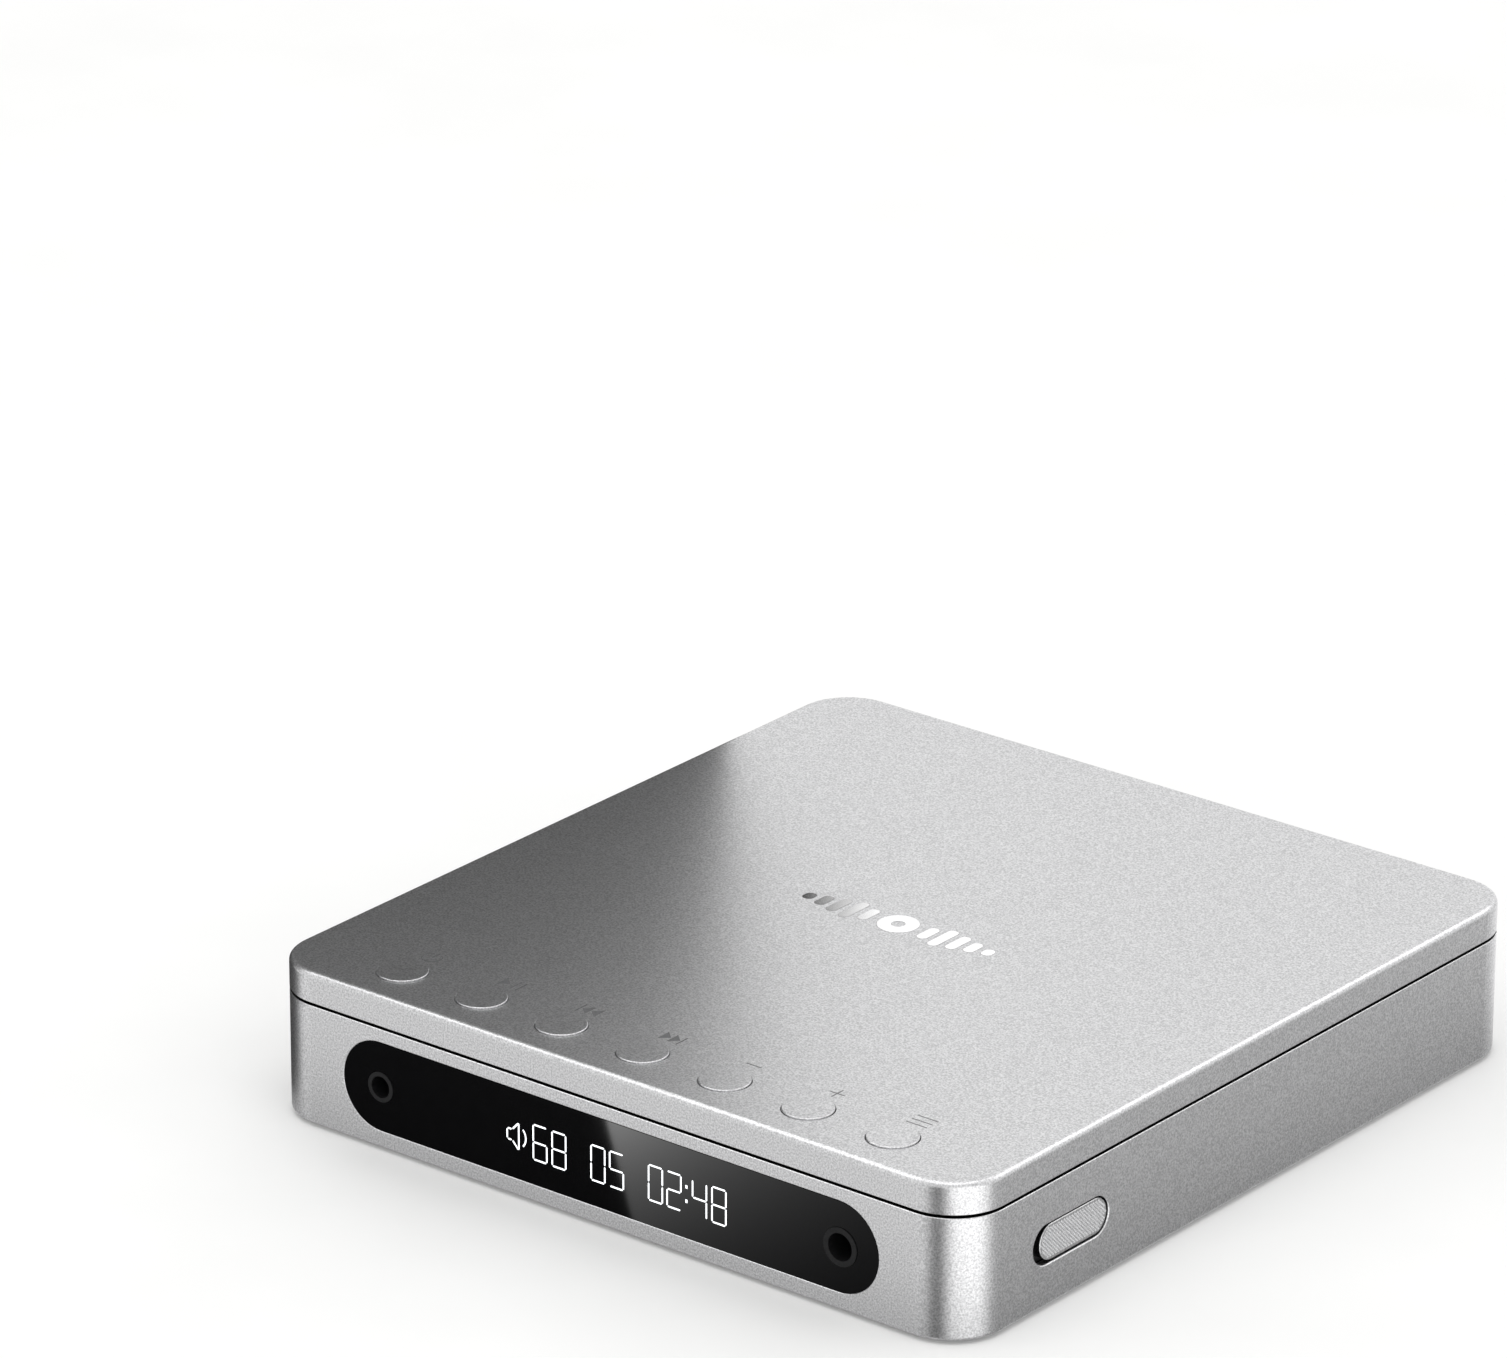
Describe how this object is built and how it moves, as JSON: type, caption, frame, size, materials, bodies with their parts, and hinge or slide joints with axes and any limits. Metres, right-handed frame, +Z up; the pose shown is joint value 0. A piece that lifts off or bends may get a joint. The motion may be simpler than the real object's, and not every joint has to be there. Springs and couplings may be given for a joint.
{
  "type": "portable disc player with headphone converter",
  "caption": "Flat square portable disc player with a hinged lid, round keys on the lid, a dark front display window and headphone and line sockets.",
  "frame": {"origin": "centre of the footprint on the surface it stands on", "axes": "+Z up, +Y towards the rear sockets and the hinge, -Y the display side, +X to the right as seen from the display side"},
  "size_m": [0.137, 0.1445, 0.0266],
  "materials": {
    "silver_aluminium": "fine bead-blasted, clear anodised",
    "key_aluminium": "turned, clear anodised",
    "emblem_mirror": "polished",
    "black_glass": "glossy black",
    "black_plastic": "fine texture",
    "grey_plastic": "moulded",
    "white_plastic": "moulded",
    "rubber": "matt",
    "board": "solder resist",
    "chip": "moulded",
    "steel": "pressed or ground",
    "nickel": "nickel plated",
    "gold": "gold plated",
    "lens": "coated",
    "battery_wrap": "shrink sleeve"
  },
  "bodies": {
    "base": {"base_shell": "silver_aluminium", "base_screws": "steel", "foot_front_left": "rubber", "foot_front_right": "rubber", "foot_rear_left": "rubber", "foot_rear_right": "rubber", "deck": "black_plastic", "display_glass": "black_glass", "display_board": "board", "display_module": "white_plastic", "headphone_jack_35": "black_plastic", "headphone_jack_44": "black_plastic", "line_jack_35": "black_plastic", "line_jack_44": "black_plastic", "headphone_housing_35": "black_plastic", "headphone_housing_44": "black_plastic", "line_housing_35": "black_plastic", "line_housing_44": "black_plastic", "usb_socket_data": "nickel", "usb_socket_power": "nickel", "switch_body_gain": "black_plastic", "switch_body_power": "black_plastic", "main_board": "board", "board_chips": "chip", "board_capacitors": "nickel", "battery_contacts": "gold", "hinge_bracket_left": "steel", "hinge_bracket_right": "steel", "hinge_pin_left": "steel", "hinge_pin_right": "steel", "drive_chassis": "steel", "dampers": "rubber", "spindle_motor": "steel", "guide_rods": "steel", "sled_motor": "steel"},
    "lid": {"lid": "silver_aluminium", "lid_emblem": "emblem_mirror", "lid_panel": "black_plastic", "key_board": "board", "hinge_arm_left": "steel", "hinge_arm_right": "steel", "latch_hook": "steel", "lid_bumpers": "rubber"},
    "disc_hub": {"turntable_hub": "black_plastic", "grip_balls": "steel"},
    "pickup": {"pickup_sled": "black_plastic", "pickup_lens": "lens"},
    "sled_screw": {"lead_screw": "steel"},
    "release": {"open_slider": "silver_aluminium"},
    "gain_knob": {"switch_knob_gain": "grey_plastic"},
    "power_knob": {"switch_knob_power": "grey_plastic"},
    "battery": {"battery_door": "silver_aluminium", "battery_pack": "battery_wrap"},
    "key_power": {"button_power": "key_aluminium"},
    "key_play_pause": {"button_play_pause": "key_aluminium"},
    "key_previous": {"button_previous": "key_aluminium"},
    "key_next": {"button_next": "key_aluminium"},
    "key_volume_down": {"button_volume_down": "key_aluminium"},
    "key_volume_up": {"button_volume_up": "key_aluminium"},
    "key_menu": {"button_menu": "key_aluminium"}
  },
  "joints": [
    {"name": "lid_hinge", "type": "hinge", "parent": "base", "child": "lid", "pos_m": [0, 0.066, 0.0126], "axis": [-1, 0, 0], "range_deg": [0, 60]},
    {"name": "disc_spin", "type": "hinge", "parent": "base", "child": "disc_hub", "pos_m": [0, 0, 0.014], "axis": [0, 0, 1], "continuous": true},
    {"name": "pickup_travel", "type": "slide", "parent": "base", "child": "pickup", "axis": [1, 0, 0], "range_m": [0, 0.031]},
    {"name": "screw_turn", "type": "hinge", "parent": "base", "child": "sled_screw", "pos_m": [0.012, 0.0205, 0.0113], "axis": [1, 0, 0], "range_deg": [-3730, 3730]},
    {"name": "release_slide", "type": "slide", "parent": "base", "child": "release", "axis": [0, -1, 0], "range_m": [0, 0.00155], "stiffness_N_per_m": 1000, "springref_m": -0.0008},
    {"name": "gain_switch", "type": "slide", "parent": "base", "child": "gain_knob", "axis": [-1, 0, 0], "range_m": [0, 0.0016]},
    {"name": "power_switch", "type": "slide", "parent": "base", "child": "power_knob", "axis": [-1, 0, 0], "range_m": [0, 0.0016]},
    {"name": "battery_slide", "type": "slide", "parent": "base", "child": "battery", "axis": [0, 1, 0], "range_m": [0, 0.08]},
    {"name": "key_power_press", "type": "slide", "parent": "lid", "child": "key_power", "axis": [0, 0, -1], "range_m": [0, 0.0004], "stiffness_N_per_m": 4000, "springref_m": -0.0002},
    {"name": "key_play_pause_press", "type": "slide", "parent": "lid", "child": "key_play_pause", "axis": [0, 0, -1], "range_m": [0, 0.0004], "stiffness_N_per_m": 4000, "springref_m": -0.0002},
    {"name": "key_previous_press", "type": "slide", "parent": "lid", "child": "key_previous", "axis": [0, 0, -1], "range_m": [0, 0.0004], "stiffness_N_per_m": 4000, "springref_m": -0.0002},
    {"name": "key_next_press", "type": "slide", "parent": "lid", "child": "key_next", "axis": [0, 0, -1], "range_m": [0, 0.0004], "stiffness_N_per_m": 4000, "springref_m": -0.0002},
    {"name": "key_volume_down_press", "type": "slide", "parent": "lid", "child": "key_volume_down", "axis": [0, 0, -1], "range_m": [0, 0.0004], "stiffness_N_per_m": 4000, "springref_m": -0.0002},
    {"name": "key_volume_up_press", "type": "slide", "parent": "lid", "child": "key_volume_up", "axis": [0, 0, -1], "range_m": [0, 0.0004], "stiffness_N_per_m": 4000, "springref_m": -0.0002},
    {"name": "key_menu_press", "type": "slide", "parent": "lid", "child": "key_menu", "axis": [0, 0, -1], "range_m": [0, 0.0004], "stiffness_N_per_m": 4000, "springref_m": -0.0002}
  ],
  "couplings": [
    {"joint": "screw_turn", "follows": "pickup_travel", "rad_per_m": 2094.4}
  ]
}
